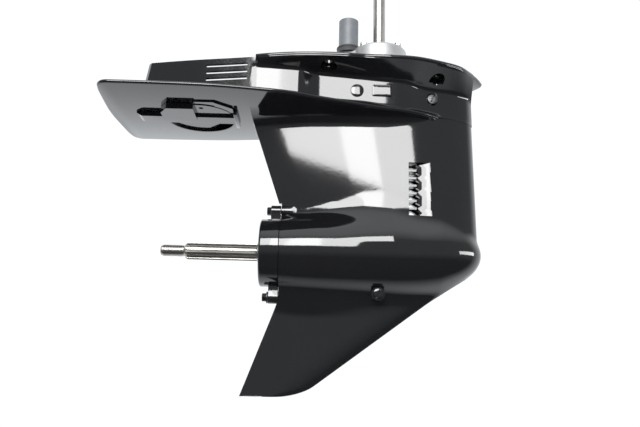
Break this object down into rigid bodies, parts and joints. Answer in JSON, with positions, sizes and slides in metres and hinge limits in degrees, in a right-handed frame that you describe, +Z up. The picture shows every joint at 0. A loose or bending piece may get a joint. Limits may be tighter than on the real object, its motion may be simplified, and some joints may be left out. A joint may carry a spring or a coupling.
{
  "type": "outboard motor lower unit",
  "caption": "Outboard motor lower unit: torpedo gearcase with bevel gears, dog clutch, propeller shaft, driveshaft, water pump and trim tab",
  "frame": {"origin": "on the top mating face, on the centre plane, on the land between the water pump bay and the exhaust chamber", "axes": "+X to the bow along the propeller shaft, +Z up along the driveshaft, +Y to port"},
  "size_m": [0.508, 0.208, 0.8076],
  "materials": {
    "black_paint": "gloss black enamel over cast aluminium",
    "dark_bolt": "dark plated steel",
    "shaft_steel": "ground stainless steel",
    "gear_steel": "hardened and ground steel, oily",
    "cast_alloy": "bare cast aluminium",
    "rubber": "nitrile rubber",
    "grey_tube": "dark grey moulded tube",
    "bronze": "plain bronze bush"
  },
  "bodies": {
    "root": {"gearcase_housing": "black_paint", "bearing_carrier": "black_paint", "carrier_bolt_upper": "dark_bolt", "carrier_bolt_lower": "dark_bolt", "carrier_washer_lower": "dark_bolt", "carrier_o_ring": "rubber", "propshaft_needle_bearing": "gear_steel", "propshaft_seal_inner": "rubber", "propshaft_seal_outer": "rubber", "forward_bearing_cup": "gear_steel", "reverse_gear_bearing": "gear_steel", "shift_shaft_bushing": "bronze", "shift_shaft_seal": "rubber", "pinion_needle_bearing": "gear_steel", "driveshaft_bearing_cup": "gear_steel", "oil_seal_housing": "cast_alloy", "driveshaft_seal": "rubber", "pump_base_plate": "shaft_steel", "pump_insert_cup": "shaft_steel", "pump_housing": "cast_alloy", "pump_bolt_1": "shaft_steel", "pump_bolt_2": "shaft_steel", "pump_bolt_3": "shaft_steel", "pump_bolt_4": "shaft_steel", "water_tube_grommet": "rubber", "water_tube": "grey_tube", "oil_vent_plug": "shaft_steel", "vent_plug_gasket": "rubber", "oil_drain_plug": "dark_bolt", "drain_plug_gasket": "rubber", "trim_tab_bolt": "shaft_steel", "dowel_pin_starboard": "shaft_steel", "dowel_pin_port": "shaft_steel"},
    "drive_train": {"driveshaft": "shaft_steel", "pinion_gear": "gear_steel", "pinion_nut": "gear_steel", "impeller": "rubber", "impeller_key": "shaft_steel", "driveshaft_bearing_cone": "gear_steel"},
    "forward_gear_set": {"forward_gear": "gear_steel", "forward_bearing_cone": "gear_steel"},
    "reverse_gear_set": {"reverse_gear": "gear_steel"},
    "propeller_shaft": {"prop_shaft": "shaft_steel"},
    "clutch": {"clutch_dog": "gear_steel", "clutch_cross_pin": "gear_steel", "clutch_pin_retainer": "gear_steel", "shift_plunger": "gear_steel"},
    "shifter": {"shift_shaft": "shaft_steel", "shift_crank": "gear_steel"},
    "tab": {"trim_tab": "black_paint"}
  },
  "joints": [
    {"name": "driveshaft_spin", "type": "hinge", "parent": "root", "child": "drive_train", "pos_m": [0.067, 0, -0.1], "axis": [0, 0, 1], "continuous": true},
    {"name": "forward_gear_spin", "type": "hinge", "parent": "root", "child": "forward_gear_set", "pos_m": [0.1, 0, -0.246], "axis": [1, 0, 0], "continuous": true},
    {"name": "reverse_gear_spin", "type": "hinge", "parent": "root", "child": "reverse_gear_set", "pos_m": [0.03, 0, -0.246], "axis": [1, 0, 0], "continuous": true},
    {"name": "propeller_shaft_spin", "type": "hinge", "parent": "root", "child": "propeller_shaft", "pos_m": [0, 0, -0.246], "axis": [1, 0, 0], "continuous": true},
    {"name": "shift_shaft_turn", "type": "hinge", "parent": "root", "child": "shifter", "pos_m": [0.142, 0, -0.1], "axis": [0, 0, 1], "range_deg": [-21.7, 21.7]},
    {"name": "clutch_slide", "type": "slide", "parent": "propeller_shaft", "child": "clutch", "axis": [1, 0, 0], "range_m": [-0.00246, 0.00246]},
    {"name": "trim_tab_swivel", "type": "hinge", "parent": "root", "child": "tab", "pos_m": [-0.175, 0, -0.06], "axis": [0, 0, 1], "range_deg": [-15, 15]}
  ],
  "couplings": [
    {"joint": "forward_gear_spin", "follows": "driveshaft_spin", "ratio": -0.54167},
    {"joint": "reverse_gear_spin", "follows": "driveshaft_spin", "ratio": 0.54167},
    {"joint": "shift_shaft_turn", "follows": "clutch_slide", "rad_per_m": 153.85}
  ]
}
